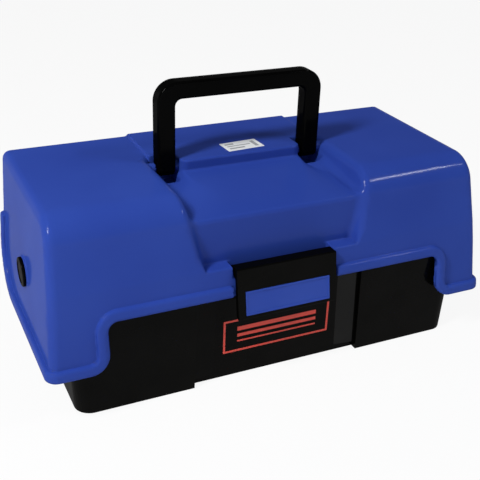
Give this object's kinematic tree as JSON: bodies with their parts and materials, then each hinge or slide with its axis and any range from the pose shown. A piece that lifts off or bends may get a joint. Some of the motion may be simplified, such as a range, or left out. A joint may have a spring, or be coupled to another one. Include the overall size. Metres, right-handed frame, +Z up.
{
  "type": "tackle box",
  "caption": "Plastic tackle box with a deep lid, folding carrying handle and wide front latch; cantilever trays rise on steel lift arms as the lid opens.",
  "frame": {"origin": "on the ground, under the middle of the box", "axes": "+X along the length, towards the right seen from the front, +Y from the front to the back, +Z up"},
  "size_m": [0.41, 0.1836, 0.2385],
  "materials": {
    "blue_plastic": "moulded, slightly uneven gloss",
    "black_plastic": "moulded gloss",
    "badge_blue": "moulded gloss, a raised rim",
    "grey_plastic": "fine moulded grain",
    "steel": "zinc plated"
  },
  "bodies": {
    "base": {"base_tub": "black_plastic", "hinge_pin_left": "steel", "hinge_pin_right": "steel", "rivets_base_left": "steel", "rivets_base_right": "steel", "base_divider_left": "grey_plastic", "base_divider_right": "grey_plastic"},
    "lid": {"lid_shell": "blue_plastic", "pivot_cap_left": "black_plastic", "pivot_cap_right": "black_plastic", "handle_pin_left": "steel", "handle_pin_right": "steel", "latch_pin": "steel"},
    "handle": {"handle": "black_plastic"},
    "latch": {"latch": "black_plastic", "latch_badge": "badge_blue"},
    "arm_long_left": {"arm_long_left": "steel"},
    "arm_long_right": {"arm_long_right": "steel"},
    "arm_short_left": {"arm_short_left": "steel"},
    "arm_short_right": {"arm_short_right": "steel"},
    "tray_upper": {"tray_upper": "grey_plastic", "rivet_upper_left": "steel", "rivet_upper_right": "steel", "divider_upper_1": "grey_plastic", "divider_upper_2": "grey_plastic", "divider_upper_3": "grey_plastic", "divider_upper_4": "grey_plastic"},
    "tray_lower": {"tray_lower": "grey_plastic", "tray_ends_lower": "grey_plastic", "tray_floor_lower": "grey_plastic", "tray_wall_lower": "grey_plastic", "tray_ear_left": "grey_plastic", "tray_ear_right": "grey_plastic", "rivets_lower_left": "steel", "rivets_lower_right": "steel", "divider_lower_1": "grey_plastic", "divider_lower_2": "grey_plastic", "divider_lower_3": "grey_plastic", "divider_lower_4": "grey_plastic"}
  },
  "joints": [
    {"name": "lid_open", "type": "hinge", "parent": "base", "child": "lid", "pos_m": [0, 0.0852, 0.0995], "axis": [-1, 0, 0], "range_deg": [0, 100]},
    {"name": "handle_fold", "type": "hinge", "parent": "lid", "child": "handle", "pos_m": [0, 0.0195, 0.163], "axis": [1, 0, 0], "range_deg": [0, 88]},
    {"name": "latch_open", "type": "hinge", "parent": "lid", "child": "latch", "pos_m": [0, -0.0735, 0.1058], "axis": [-1, 0, 0], "range_deg": [0, 95]},
    {"name": "arm_long_left_turn", "type": "hinge", "parent": "base", "child": "arm_long_left", "pos_m": [-0.176, 0.05, 0.086], "axis": [-1, 0, 0], "range_deg": [0, 100]},
    {"name": "arm_short_left_turn", "type": "hinge", "parent": "base", "child": "arm_short_left", "pos_m": [-0.176, 0.03, 0.066], "axis": [-1, 0, 0], "range_deg": [0, 100]},
    {"name": "arm_long_right_turn", "type": "hinge", "parent": "base", "child": "arm_long_right", "pos_m": [0.176, 0.05, 0.086], "axis": [-1, 0, 0], "range_deg": [0, 100]},
    {"name": "arm_short_right_turn", "type": "hinge", "parent": "base", "child": "arm_short_right", "pos_m": [0.176, 0.03, 0.066], "axis": [-1, 0, 0], "range_deg": [0, 100]},
    {"name": "tray_upper_turn", "type": "hinge", "parent": "lid", "child": "tray_upper", "pos_m": [0, 0.003, 0.095], "axis": [1, 0, 0], "range_deg": [0, 100]},
    {"name": "tray_lower_turn", "type": "hinge", "parent": "arm_long_left", "child": "tray_lower", "pos_m": [-0.176, 0.0089, 0.08375], "axis": [1, 0, 0], "range_deg": [0, 100]}
  ],
  "couplings": [
    {"joint": "arm_long_left_turn", "follows": "lid_open", "ratio": 1},
    {"joint": "arm_short_left_turn", "follows": "lid_open", "ratio": 1},
    {"joint": "arm_long_right_turn", "follows": "lid_open", "ratio": 1},
    {"joint": "arm_short_right_turn", "follows": "lid_open", "ratio": 1},
    {"joint": "tray_upper_turn", "follows": "lid_open", "ratio": 1},
    {"joint": "tray_lower_turn", "follows": "lid_open", "ratio": 1}
  ]
}
